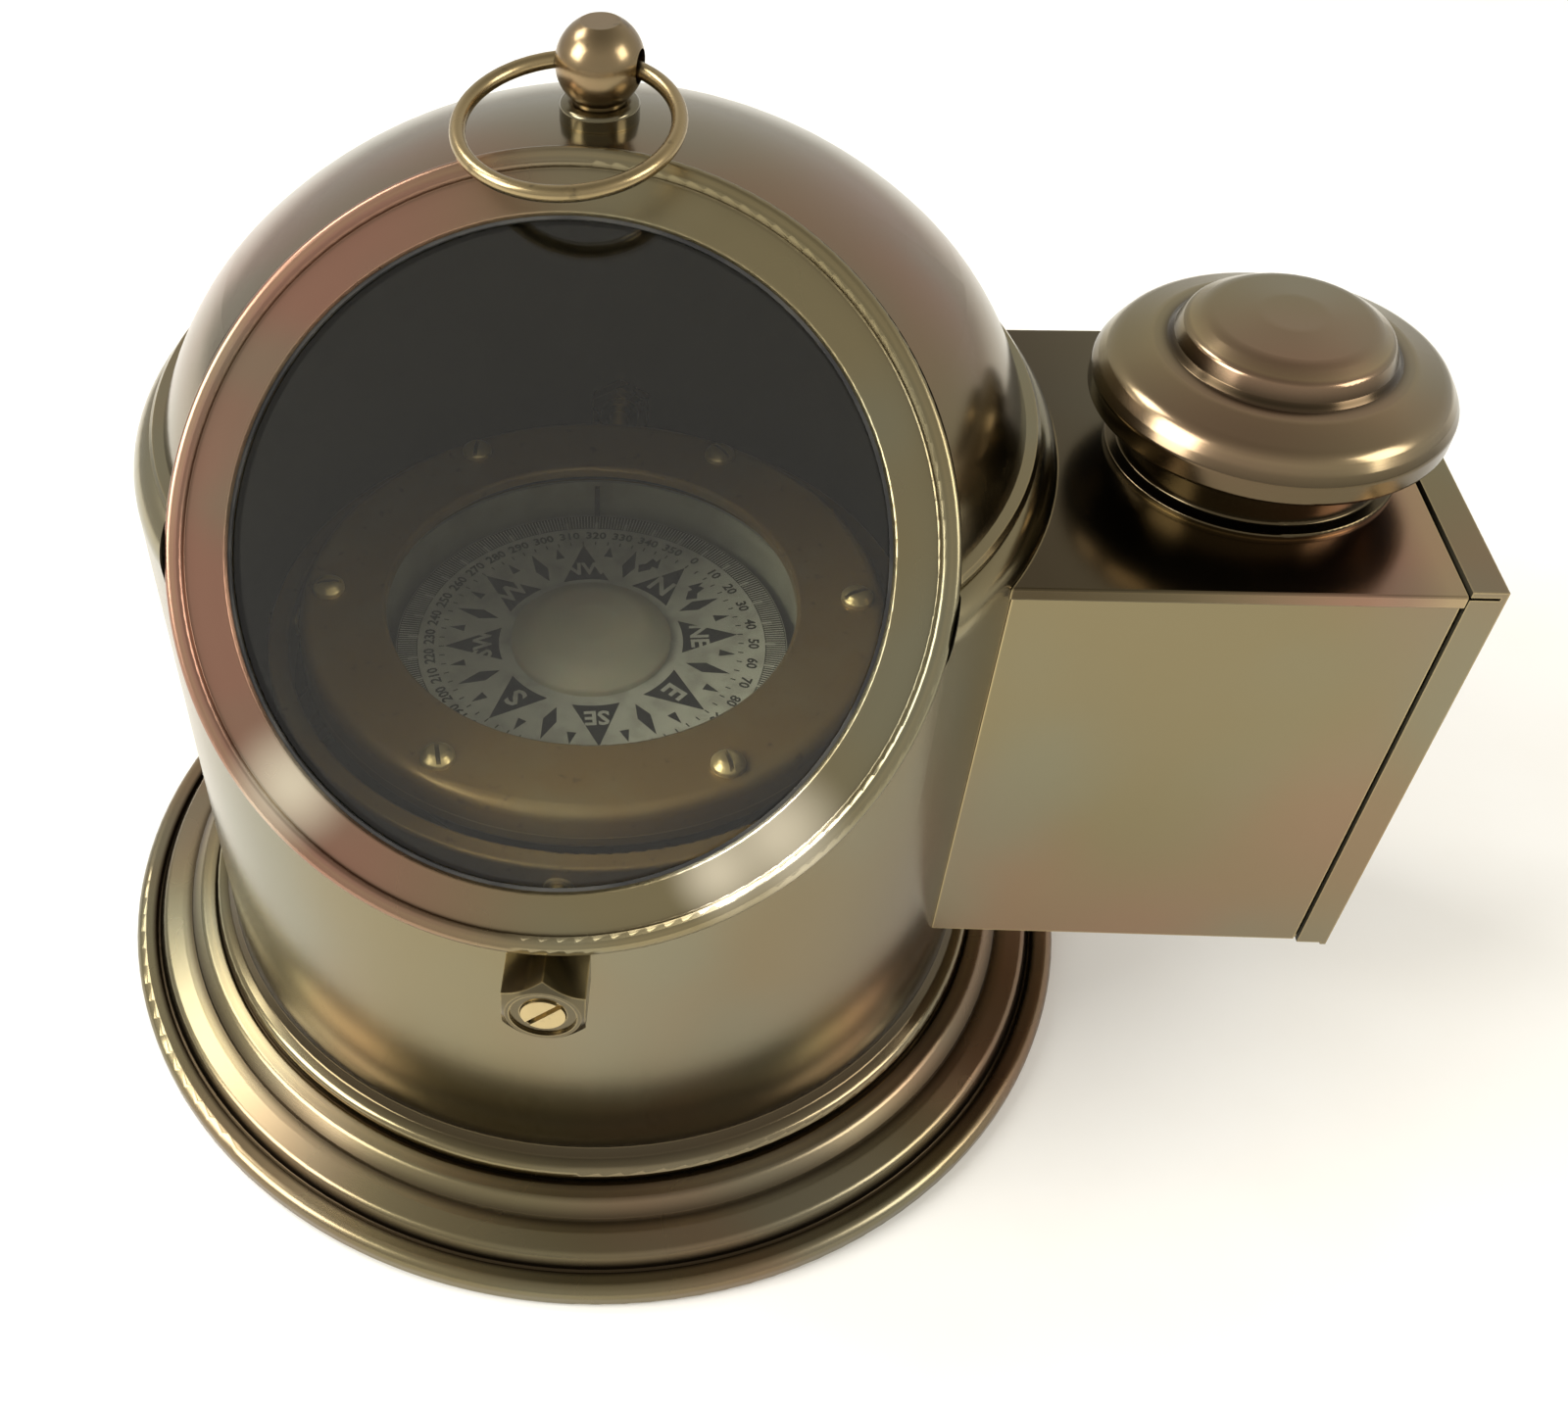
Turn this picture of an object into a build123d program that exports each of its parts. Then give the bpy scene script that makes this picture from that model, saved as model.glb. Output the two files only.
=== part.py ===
from build123d import *
import math
import os

# Binnacle compass. Millimetres, +Z up. The origin is the bottom centre of the base, on the drum's
# axis. The lamp box points along +X and the sloping window faces -Y.

# ---- driving dimensions ----
BASE_R = 100.0            # rim of the base flange
FLANGE_TOP = 11.5         # ledge that the drum stands on
PLATE_R, PLATE_T = 90.0, 3.0
FOOT_IN = 70.0            # inside of the ledge and of the ring screwed to it
PLATE_SCREWS_R, FOOT_SCREWS_R = 87.2, 73.2
DRUM_R, WALL = 77.0, 1.2  # drum outside radius, sheet thickness
DRUM_TOP = 130.2
SHOULDER_R = 5.2
MOUTH_R = 70.9            # opening in the drum's shoulder
BOX_TOP, BOX_BOTTOM = 125.6, 40.0
BOX_FRONT, BOX_BACK = -40.5, 28.3
BOX_END = 132.2
SHEET = 1.0
COVER_START, COVER_END = 132.7, 138.1
LAMP_X, LAMP_Y = 107.6, -6.0
PORT_R, PORT_Z = 18.0, 84.0   # hole that lets the lamp's light into the drum
NECK_R, NECK_TOP = 21.0, 140.0
CAP_R, CAP_BOTTOM = 27.7, 135.6

DOME_R, DOME_RISE, DOME_CENTRE = 73.6, 59.5, 115.9
DOME_SIDE_R = 50.0        # rounding of the dome's side, below the flatter crown
DOME_FOOT = 132.2
HOOD_TURN = -6.6          # the window looks a little towards the port side
WINDOW_TILT = 48.9        # window axis, down from vertical
WINDOW_Y, WINDOW_Z = -43.0, 130.5
WINDOW_R, WINDOW_BACK_R, WINDOW_DEPTH = 60.8, 57.5, 6.0
GLASS_R = 51.0            # clear radius of the window
SEAT_CLEARANCE = 0.3
FINIAL_Y = 8.0
BALL_R, BALL_Z, BALL_FACET = 6.7, 183.6, 6.0
RING_TURN = -15.6         # direction of the hole through the knob
RING_R, WIRE_R = 15.93, 1.2
RING_DROOP, RING_OFFSET = 8.3, 15.43
RING_HOLE_R = 2.5

PIVOT_TURN = -3.1         # gimbal axes are turned this much from the drum's front
PIVOT_Z = 74.6
HEX_FLATS, HEX_FACE = 13.4, 87.0
STUB_R, THREAD_R = 4.0, 2.0
TIP_R, BUSH_HOLE_R, BUSH_R = 1.6, 1.65, 2.6
GIMBAL_R, GIMBAL_IN, GIMBAL_H = 61.0, 57.0, 10.0

BOWL_R, BOWL_IN, LINER_IN = 43.0, 40.5, 39.9
BEZEL_R, BEZEL_IN = 54.5, 38.2
FLANGE_Z, BEZEL_TOP = 80.0, 86.0
SCREW_CIRCLE, PLUG_R = 49.2, 2.15
CARD_R, CARD_Z, CARD_T = 37.3, 73.3, 0.6
FLOAT_R = 15.3

# ---- makers ----


def turned(*corners):
    """A turned part: a closed outline of (radius, height[, corner round]) spun about +Z."""
    points = [(corner[0], corner[1]) for corner in corners]
    rounds = [corner[2] if len(corner) > 2 else 0 for corner in corners]
    outline = FilletPolyline(*points, radius=rounds, close=True)
    return revolve(Plane.XZ * make_face(outline), Axis.Z)


def rod(radius, start, end):
    """A round bar from one point to another."""
    start, end = Vector(start), Vector(end)
    run = end - start
    plane = Plane(origin=start, z_dir=run.normalized())
    return extrude(plane * Circle(radius), run.length)


def block(low, high):
    """A box between two corners."""
    size = [b - a for a, b in zip(low, high)]
    centre = [(a + b) / 2 for a, b in zip(low, high)]
    return Pos(*centre) * Box(*size)


def tube_along(radius_out, radius_in, start, end):
    return rod(radius_out, start, end) - rod(radius_in, start, end)


def hexagon_bar(flats, start, end):
    """A hexagonal bar, with a corner on top when it lies level."""
    start, end = Vector(start), Vector(end)
    run = end - start
    corner = (1, 0, 0) if run.Z else (0, 0, 1)
    plane = Plane(origin=start, x_dir=corner, z_dir=run.normalized())
    return extrude(plane * RegularPolygon(flats / math.sqrt(3), 6), run.length)


def around(piece, count, start=0):
    """Copies of a piece spaced evenly about the Z axis."""
    return [Rot(0, 0, start + 360 / count * i) * piece for i in range(count)]


def save(name, *solids):
    pieces = []
    for solid in solids:
        pieces += solid.solids()
    export_step(Compound(children=pieces) if len(pieces) > 1 else pieces[0], f"parts/{name}.step")


def dome_outline(inset):
    """The dome's two tangent arcs from its foot to its top, set in from the outside by inset."""
    side_x = DOME_R - DOME_SIDE_R
    crown_r = (side_x ** 2 + DOME_RISE ** 2 - DOME_SIDE_R ** 2) / (2 * (DOME_RISE - DOME_SIDE_R))
    crown_z = DOME_CENTRE + DOME_RISE - crown_r
    join = math.degrees(math.atan2(DOME_CENTRE - crown_z, side_x))
    foot = math.degrees(math.asin((DOME_FOOT - DOME_CENTRE) / (DOME_SIDE_R - inset)))
    side = CenterArc((side_x, DOME_CENTRE), DOME_SIDE_R - inset, foot, join - foot)
    crown = CenterArc((0, crown_z), crown_r - inset, join, 90 - join)
    return side, crown


def dome_sheet():
    outside, inside = dome_outline(0), dome_outline(WALL)
    ends = [Line(outside[0] @ 0, inside[0] @ 0), Line(outside[1] @ 1, inside[1] @ 1)]
    return revolve(Plane.XZ * make_face(Curve() + [*outside, *inside, *ends]), Axis.Z)


def dome_solid():
    outside = dome_outline(-0.03)
    foot = (0, DOME_FOOT)
    ends = [Line(outside[0] @ 0, foot), Line(foot, outside[1] @ 1)]
    return revolve(Plane.XZ * make_face(Curve() + [*outside, *ends]), Axis.Z)


# ---- base ----


def base():
    flange = turned(
        (PLATE_R, 0), (97.4, 0, 2.2), (BASE_R, 0.6, 1.0), (BASE_R, 5.0, 2.2), (95.6, 5.0, 0.3),
        (95.4, 4.2), (94.8, 4.4, 0.3), (93.4, 7.2, 1.6), (89.5, 8.2, 3.0), (87.3, 8.5), (87.0, 9.3, 0.3),
        (84.6, 11.6, 1.8), (81.6, 12.1, 0.4), (81.3, FLANGE_TOP), (FOOT_IN, FLANGE_TOP), (FOOT_IN, 8.9),
        (80.5, 8.9, 1.0), (84.0, 6.6, 1.0), (84.0, PLATE_T), (PLATE_R, PLATE_T))
    plate = Pos(0, 0, PLATE_T / 2) * Cylinder(PLATE_R, PLATE_T)
    screw = turned((0, 0.05), (2.9, 0.05), (1.5, 1.6), (1.5, 6.4), (0, 6.4))
    screw -= block((-3, -0.4, 0), (3, 0.4, 0.7))
    seat = turned((0, 0), (2.95, 0), (1.55, 1.6), (1.55, 6.6), (0, 6.6))
    screws = around(Pos(PLATE_SCREWS_R, 0, 0) * screw, 6, 30)
    seats = around(Pos(PLATE_SCREWS_R, 0, 0) * seat, 6, 30)
    foot_screw = turned((0, 6.2), (2.6, 6.2), (2.6, 8.9), (1.45, 8.9), (1.45, 14.5), (0, 14.5))
    foot_screw -= block((-3, -0.4, 6.2), (3, 0.4, 7.0))
    foot_hole = Pos(FOOT_SCREWS_R, 0, 0) * rod(1.5, (0, 0, 8), (0, 0, 14.8))
    foot_holes = around(foot_hole, 4, 45)
    foot_ring = turned(
        (FOOT_IN + 0.4, FLANGE_TOP), (75.75, FLANGE_TOP), (75.75, 24.0), (74.6, 24.0), (74.6, 15.6, 0.5),
        (FOOT_IN + 0.4, 15.6, 0.5))
    save("base_flange", flange - seats - foot_holes)
    save("base_plate", plate - seats)
    save("base_plate_screws", *screws)
    save("drum_foot_ring", foot_ring - foot_holes)
    save("drum_foot_screws", *around(Pos(FOOT_SCREWS_R, 0, 0) * foot_screw, 4, 45))


# ---- window frame placing ----


def window_place():
    """Where the window's axis meets its front face, +Z outwards."""
    return Rot(0, 0, HOOD_TURN) * Pos(0, WINDOW_Y, WINDOW_Z) * Rot(WINDOW_TILT, 0, 0)


def window_envelope(clearance, reach=0):
    """The solid that the window frame fills, reaching further out to leave a way for it."""
    front, back = WINDOW_R + clearance, WINDOW_BACK_R + clearance
    corners = [(0, -WINDOW_DEPTH - clearance), (back, -WINDOW_DEPTH - clearance), (front, -1.5)]
    corners += [(front, reach), (0, reach)]
    return window_place() * turned(*corners)


# ---- drum ----


def drum():
    shell = turned(
        (DRUM_R - WALL, FLANGE_TOP), (80.9, FLANGE_TOP, 0.8), (80.9, 15.0, 1.7), (78.3, 16.0, 0.8),
        (DRUM_R, 17.6, 0.8), (DRUM_R, DRUM_TOP, SHOULDER_R), (MOUTH_R, DRUM_TOP), (MOUTH_R, DRUM_TOP - WALL),
        (DRUM_R - WALL, DRUM_TOP - WALL, SHOULDER_R - WALL))
    shell -= window_envelope(SEAT_CLEARANCE, 70)
    port = rod(PORT_R, (60, LAMP_Y, PORT_Z), (90, LAMP_Y, PORT_Z))
    pivot_holes = Rot(0, 0, PIVOT_TURN) * rod(STUB_R + 0.05, (0, -90, PIVOT_Z), (0, 90, PIVOT_Z))
    save("drum_shell", shell - port - pivot_holes)

    def along_port(distance):
        return (distance, LAMP_Y, PORT_Z)
    port_frame = tube_along(PORT_R, 15.0, along_port(70.5), along_port(80))
    port_frame += tube_along(21.0, 15.0, along_port(78.6), along_port(80))
    port_frame -= rod(16.6, along_port(77.6), along_port(81))
    save("light_port_frame", port_frame)
    save("light_port_glass", rod(16.5, along_port(77.6), along_port(79.6)))

    bosses, nuts, screws = [], [], []
    drum_solid = Pos(0, 0, 70) * Cylinder(DRUM_R + 0.02, 120)
    for end in (-1, 1):
        def at(radius):
            return (0, end * radius, PIVOT_Z)
        boss = hexagon_bar(HEX_FLATS, at(70), at(HEX_FACE))
        cone = turned((0, -30), (20, -30), (20, -13.4), (HEX_FLATS / 2 + 1.2, -1.2),
                      (HEX_FLATS / 2 - 0.6, 0), (0, 0))
        boss &= Pos(*at(HEX_FACE)) * Rot(-90 * end, 0, 0) * cone
        boss -= drum_solid
        boss += rod(STUB_R, at(78), at(70.5))
        boss -= rod(THREAD_R + 0.05, at(60), at(90))
        boss -= rod(3.75, at(85.2), at(88))
        boss -= rod(5.4, at(86.5), at(88))
        bosses.append(Rot(0, 0, PIVOT_TURN) * boss)
        nut = hexagon_bar(12.0, at(75.4), at(72.4)) - rod(STUB_R + 0.05, at(70), at(77))
        nuts.append(Rot(0, 0, PIVOT_TURN) * nut)
        screw = rod(3.6, at(85.2), at(86.9)) + rod(THREAD_R, at(86), at(64)) + rod(TIP_R, at(65), at(58.2))
        slot = Pos(*at(86.9)) * Rot(0, 45, 0) * Box(1.0, 2.0, 9)
        screws.append(Rot(0, 0, PIVOT_TURN) * (screw - slot))
    save("pivot_bosses", *bosses)
    save("pivot_lock_nuts", *nuts)
    save("pivot_screws", *screws)


# ---- lamp box and chimney ----


def lamp_box():
    drum_solid = Pos(0, 0, 80) * Cylinder(DRUM_R + 0.05, 200)
    outer = block((40, BOX_FRONT, BOX_BOTTOM), (BOX_END, BOX_BACK, BOX_TOP - SHEET))
    inner = block((30, BOX_FRONT + SHEET, BOX_BOTTOM + SHEET), (200, BOX_BACK - SHEET, 200))
    save("lamp_box_shell", outer - inner - drum_solid)
    top = block((40, BOX_FRONT, BOX_TOP - SHEET), (BOX_END, BOX_BACK, BOX_TOP))
    lip = block((40, BOX_FRONT - 1.0, BOX_TOP - 2.4), (BOX_END, BOX_FRONT, BOX_TOP))
    lip = fillet(lip.edges().filter_by(Axis.X).group_by(Axis.Y)[0], 0.45)
    flue = rod(NECK_R - SHEET, (LAMP_X, LAMP_Y, 120), (LAMP_X, LAMP_Y, 130))
    save("lamp_box_top", top + lip - drum_solid - flue)

    neck = turned(
        (NECK_R - SHEET, BOX_TOP), (NECK_R + 2, BOX_TOP), (NECK_R + 2, BOX_TOP + 0.9, 0.4),
        (NECK_R, BOX_TOP + 1.6, 0.6), (NECK_R, NECK_TOP), (NECK_R - SHEET, NECK_TOP))
    cap = turned(
        (CAP_R - 1.6, CAP_BOTTOM + 0.4), (CAP_R - 1.2, CAP_BOTTOM, 0.3), (CAP_R, CAP_BOTTOM + 0.3, 0.8),
        (CAP_R, 139.4, 1.2), (26.9, 140.8, 1.0), (25.2, 143.2, 4.0), (19.8, 145.2, 3.0), (17.5, 145.5, 0.4),
        (16.6, 146.5, 0.3), (15.6, 148.7, 1.2), (12.6, 150.6, 4.0), (5.0, 151.4, 8.0), (0, 151.4),
        (0, 150.0), (5.0, 150.0, 8.0), (12.0, 149.3, 4.0), (14.3, 147.6, 1.0), (15.4, 144.8, 0.3),
        (19.2, 143.8, 3.0), (24.2, 142.0, 3.0), (25.8, 140.0, 1.0), (26.1, 138.8, 0.5), (CAP_R - 1.6, 136.8))
    stay = block((NECK_R, -0.6, 136.4), (CAP_R - 1.65, 0.6, 138.6))
    at_lamp = Pos(LAMP_X, LAMP_Y, 0)
    save("chimney_neck", at_lamp * neck)
    save("chimney_cap", at_lamp * cap)
    save("chimney_stays", *[at_lamp * piece for piece in around(stay, 3, 30)])


# ---- hood ----


def hood():
    turn = Rot(0, 0, HOOD_TURN)
    place = window_place()
    envelope = window_envelope(0.05, 40)
    stud_hole = turn * rod(THREAD_R + 0.05, (0, FINIAL_Y, 160), (0, FINIAL_Y, 190))
    dome = dome_sheet() - envelope - stud_hole
    ring = turned(
        (69.4, 125.0), (70.6, 125.0), (70.6, DRUM_TOP), (72.7, DRUM_TOP), (73.3, DRUM_TOP + 0.6),
        (73.3, DOME_FOOT - 0.6), (72.7, DOME_FOOT), (69.4, DOME_FOOT))
    save("hood_dome", dome)
    save("hood_base_ring", ring - envelope)

    frame = turned(
        (54.4, -WINDOW_DEPTH), (WINDOW_BACK_R, -WINDOW_DEPTH), (WINDOW_R, -1.5, 0.6), (WINDOW_R, 0, 1.1),
        (WINDOW_R - 2.8, 0, 0.9), (WINDOW_R - 3.2, -1.0, 0.3), (GLASS_R + 0.4, -1.4, 0.3), (GLASS_R, -2.2),
        (54.4, -2.2))
    gasket = turned((GLASS_R - 0.5, -3.0), (54.3, -3.0), (54.3, -2.2), (GLASS_R - 0.5, -2.2))
    glass = turned((0, -5.2), (54.2, -5.2), (54.2, -3.0), (0, -3.0))
    retainer = turned((51.2, -6.6, 0.4), (54.3, -6.6, 0.3), (54.3, -5.2), (51.2, -5.2))
    tab = block((53.2, -3.2, -7.6), (56.9, 3.2, -6.6))
    screw = turned((0, -9.0), (1.5, -9.0, 0.6), (1.5, -7.6), (0.9, -7.6), (0.9, -3.4), (0, -3.4))
    screw_place = Pos(55.6, 0, 0)
    screw_holes = around(screw_place * rod(0.95, (0, 0, -9), (0, 0, -3.3)), 3, 90)
    save("window_frame", place * (frame - screw_holes))
    save("window_gasket", place * gasket)
    save("window_glass", place * glass)
    tabs = [piece - hole for piece, hole in zip(around(tab, 3, 90), screw_holes)]
    save("window_retainer", place * (retainer + tabs))
    save("window_retainer_screws", *[place * piece for piece in around(screw_place * screw, 3, 90)])

    at_finial = turn * Pos(0, FINIAL_Y, 0)
    collar = turned((0, 173), (6.1, 173), (6.1, 177.6, 0.7), (4.9, 178.0, 0.2), (0, 178.0))
    collar = at_finial * collar - dome_solid() - stud_hole
    ball = Pos(0, 0, BALL_Z) * Sphere(BALL_R)
    ball &= block((-10, -10, BALL_Z - 5.4), (10, 10, BALL_Z + BALL_FACET))
    knob = ball + rod(4.0, (0, 0, 178.0), (0, 0, 179.8)) + rod(THREAD_R, (0, 0, 168.6), (0, 0, 179))
    knob = at_finial * knob - ring_hole()
    nut = hexagon_bar(7.0, (0, 0, 170.0), (0, 0, 172.8)) - rod(THREAD_R + 0.05, (0, 0, 165), (0, 0, 175))
    save("finial_collar", collar)
    save("finial_knob", knob)
    save("finial_nut", at_finial * nut)


def ring_place():
    """The middle of the knob, with the ring's hinge axis along X."""
    return Rot(0, 0, HOOD_TURN) * Pos(0, FINIAL_Y, BALL_Z) * Rot(0, 0, RING_TURN - HOOD_TURN)


def ring_hole():
    return ring_place() * rod(RING_HOLE_R, (-20, 0, 0), (20, 0, 0))


def pull_ring():
    wire = Torus(RING_R, WIRE_R)
    save("pull_ring", ring_place() * Rot(RING_DROOP, 0, 0) * Pos(0, -RING_OFFSET, 0) * wire)


# ---- compass ----


def gimbal():
    place = Rot(0, 0, PIVOT_TURN) * Pos(0, 0, PIVOT_Z)
    half = GIMBAL_H / 2
    ring = turned((GIMBAL_IN, -half), (GIMBAL_R, -half), (GIMBAL_R, half), (GIMBAL_IN, half))
    ring = fillet(ring.edges(), 0.8)
    outer_end, inner_end = GIMBAL_R + 0.5, GIMBAL_IN - 0.4
    holes = around(rod(BUSH_R, (GIMBAL_IN - 5, 0, 0), (GIMBAL_R + 5, 0, 0)), 4)
    bush = tube_along(BUSH_R, BUSH_HOLE_R, (inner_end, 0, 0), (outer_end, 0, 0))
    save("gimbal_ring", place * (ring - holes))
    save("gimbal_bushes", *[place * piece for piece in around(bush, 4)])


def bowl():
    turn = Rot(0, 0, PIVOT_TURN)
    shell = turned(
        (0, 46), (29, 46, 3), (BOWL_R, 58, 4), (BOWL_R, 77.5), (BEZEL_R, 77.5, 0.5), (BEZEL_R, FLANGE_Z),
        (BOWL_IN, FLANGE_Z), (BOWL_IN, 59, 3), (28, 48.4, 3), (0, 48.4))
    plug_hole = Rot(0, 0, 225) * rod(2.2, (38, 0, 66), (50, 0, 66))
    post_hole = rod(2.0, (0, 0, 44), (0, 0, 49))
    screw_hole = rod(1.45, (SCREW_CIRCLE, 0, 77), (SCREW_CIRCLE, 0, 90))
    pin_holes = [turn * piece for piece in around(rod(TIP_R, (40, 0, PIVOT_Z), (44, 0, PIVOT_Z)), 2)]
    save("bowl_shell", shell - plug_hole - post_hole - around(screw_hole, 6) - pin_holes)
    liner = turned((LINER_IN, 60), (BOWL_IN - 0.05, 60), (BOWL_IN - 0.05, FLANGE_Z), (LINER_IN, FLANGE_Z))
    liner -= Rot(0, 0, 225) * rod(2.3, (30, 0, 66), (50, 0, 66))
    save("bowl_liner", liner - pin_holes)

    bezel = turned(
        (BEZEL_IN, BEZEL_TOP, 0.8), (BEZEL_R, BEZEL_TOP, 2.4), (BEZEL_R, FLANGE_Z), (46.8, FLANGE_Z),
        (46.8, 83.6), (BEZEL_IN, 83.6, 0.3))
    save("bowl_bezel", bezel - around(screw_hole, 6))
    head = turned(
        (0, 77.7), (1.4, 77.7), (1.4, BEZEL_TOP), (3.0, BEZEL_TOP), (3.0, 86.9, 0.6), (1.6, 88.1, 1.6),
        (0, 88.1))
    slots = (25, 70, -35, 10, 40, -15)
    screws = []
    for index, slot_turn in enumerate(slots):
        slot = Rot(0, 0, slot_turn) * Pos(0, 0, 88.1) * Box(8, 0.8, 1.8)
        screws.append(Rot(0, 0, 60 * index) * Pos(SCREW_CIRCLE, 0, 0) * (head - slot))
    save("bowl_bezel_screws", *screws)
    gaskets = [
        turned((41.0, low), (46.5, low), (46.5, high), (41.0, high))
        for low, high in ((FLANGE_Z, 80.8), (83.0, 83.6))
    ]
    save("bowl_gasket", *gaskets)
    save("bowl_glass", turned((0, 80.8), (46.4, 80.8), (46.4, 83.0), (0, 83.0)))

    boss = rod(2.8, (BOWL_R - 0.1, 0, PIVOT_Z), (47, 0, PIVOT_Z)) - Pos(0, 0, 60) * Cylinder(BOWL_R, 60)
    boss -= rod(TIP_R, (40, 0, PIVOT_Z), (50, 0, PIVOT_Z))
    pin = rod(TIP_R, (41.2, 0, PIVOT_Z), (62.4, 0, PIVOT_Z))
    save("bowl_pivot_bosses", *[turn * piece for piece in around(boss, 2)])
    save("bowl_pivot_pins", *[turn * piece for piece in around(pin, 2)])
    weight = turned((2.2, 40, 1), (27, 40, 3), (27, 46, 0.6), (2.2, 46))
    weight_screw = turned((0, 37.6), (3.6, 37.6, 0.8), (3.6, 40), (1.9, 40), (1.9, 46.6), (0, 46.6))
    weight_screw -= block((-4, -0.5, 37.6), (4, 0.5, 38.6))
    save("bowl_weight", weight)
    save("bowl_weight_screw", weight_screw)
    plug = rod(PLUG_R, (40, 0, 66), (44, 0, 66)) + rod(3.4, (43.2, 0, 66), (45.4, 0, 66))
    plug -= block((44.6, -0.5, 62), (46, 0.5, 70))
    plug -= Pos(0, 0, 66) * Cylinder(LINER_IN + 0.05, 20)
    save("bowl_filler_plug", Rot(0, 0, 225) * (plug - saddle()))
    save("lubber_line", block((-0.5, 38.9, 66), (0.5, 39.85, 79)))
    post = turned(
        (0, 46.8), (1.9, 46.8), (1.9, 48.4), (4.2, 48.4), (4.2, 51, 0.6), (1.3, 51.6, 0.3), (1.3, 72.0),
        (0.25, 74.6), (0, 74.6))
    save("card_pivot_post", post)


def saddle():
    """The metal of the bowl wall that the filler plug's head sits against."""
    wall = Pos(0, 0, 66) * Cylinder(BOWL_R, 20)
    return wall - rod(PLUG_R, (30, 0, 66), (60, 0, 66))


def card():
    disc = turned((13.7, CARD_Z - CARD_T), (CARD_R, CARD_Z - CARD_T), (CARD_R, CARD_Z), (13.7, CARD_Z))
    float_body = turned(
        (3.2, 66), (12.0, 66, 1.5), (13.6, 68.5, 1.5), (13.6, CARD_Z), (FLOAT_R, CARD_Z, 0.1),
        (FLOAT_R, 74.6, 0.8), (11.0, 77.2, 6.0), (5.0, 78.2, 8.0), (0, 78.2), (0, 76.6), (3.2, 76.6))
    jewel = turned((0, 76.6), (3.15, 76.6), (3.15, 73.4), (1.9, 73.4), (0.3, 74.7), (0, 74.7))
    magnets = [block((-9, 4.5, 63.6), (9, 6.5, 66)), block((-9, -6.5, 63.6), (9, -4.5, 66))]
    heading = Rot(0, 0, -39.5)
    save("compass_card", disc)
    save("card_float", float_body)
    save("card_jewel", jewel)
    save("card_magnets", *[heading * Rot(0, 0, 90) * piece for piece in magnets])


# ---- oil lamp ----


def lamp():
    low, high = BOX_BOTTOM - 0.6, BOX_TOP + 0.6
    front, back = BOX_FRONT - 0.6, BOX_BACK + 0.6
    plate = block((COVER_END - SHEET, front, low), (COVER_END, back, high))
    slit = 0.5
    flanges = [
        block((COVER_START, front, low + slit), (COVER_END, front + SHEET, high - slit - 1)),
        block((COVER_START, back - SHEET, low + slit), (COVER_END, back, high - slit - 1)),
        block((COVER_START, front + SHEET + slit, low), (COVER_END, back - SHEET - slit, low + SHEET)),
        block((COVER_START, front, high - SHEET), (COVER_END, back, high)),
    ]
    cover = plate + flanges
    save("lamp_end_cover", cover)
    tray = block((86, -33, 41.3), (137.1, 21, 42.5)) + block((135.9, -33, 42), (137.1, 21, 58))
    save("lamp_tray", tray)

    at_lamp = Pos(LAMP_X, LAMP_Y, 0)
    tank = turned(
        (0, 42.5), (17, 42.5, 2.0), (17, 66, 3.5), (6.9, 66), (6.9, 65), (16, 65, 2.5), (16, 43.5, 1.0),
        (0, 43.5))
    filler = Pos(13.0, 0, 0)
    tank -= filler * rod(2.2, (0, 0, 64), (0, 0, 68))
    filler_cap = turned((0, 64.6), (2.1, 64.6), (2.1, 66), (3.2, 66), (3.2, 69.2, 0.5), (0, 69.2))
    save("lamp_tank", at_lamp * tank)
    save("lamp_filler_cap", at_lamp * filler * filler_cap)
    burner = turned(
        (5.9, 63.5), (6.85, 63.5), (6.85, 66), (9.5, 66), (9.5, 77, 1.6), (0, 77), (0, 76),
        (8.5, 76, 0.8), (8.5, 67), (5.9, 67))
    wick_x, wick_y = 1.0, 5.0
    bore = block((-wick_x - 0.35, -wick_y - 0.35, 60), (wick_x + 0.35, wick_y + 0.35, 90))
    sleeve = block((-wick_x - 1.0, -wick_y - 1.0, 67.2), (wick_x + 1.0, wick_y + 1.0, 84))
    spindle_x, spindle_z, wheel_r = 3.9, 71.0, 2.6
    window = block((0, -1.7, 67.8), (6, 1.7, 74.2))
    spindle_hole = rod(1.0, (spindle_x, -20, spindle_z), (spindle_x, 0, spindle_z))
    save("lamp_burner", at_lamp * (burner - sleeve - spindle_hole))
    save("lamp_wick_tube", at_lamp * (sleeve - bore - window))
    save("lamp_wick", at_lamp * block((-wick_x, -wick_y, 46), (wick_x, wick_y, 86)))
    spindle = rod(0.94, (spindle_x, -25.0, spindle_z), (spindle_x, 1.4, spindle_z))
    spindle += rod(wheel_r, (spindle_x, -1.1, spindle_z), (spindle_x, 1.1, spindle_z))
    save("wick_spindle", at_lamp * spindle)
    knob = rod(5.5, (spindle_x, -28.0, spindle_z), (spindle_x, -25.0, spindle_z))
    knob = fillet(knob.edges(), 0.6)
    save("wick_knob", at_lamp * knob)

    dish = turned((0, 0), (8, 0.6, 12), (18, 4.2, 0.3), (18, 5.0, 0.3), (8, 1.5, 12), (0, 0.9))
    reflector_place = Pos(126, LAMP_Y, 90) * Rot(0, -90, 0)
    save("lamp_reflector", reflector_place * dish)
    save("lamp_reflector_stay", rod(1.6, (126, LAMP_Y, 90), (137.1, LAMP_Y, 90)))


os.makedirs("parts", exist_ok=True)
base()
drum()
lamp_box()
hood()
pull_ring()
gimbal()
bowl()
card()
lamp()
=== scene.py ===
import math

import bmesh
import bpy
from bpy.props import FloatProperty, FloatVectorProperty, IntProperty, PointerProperty
from mathutils import Matrix, Vector


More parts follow.
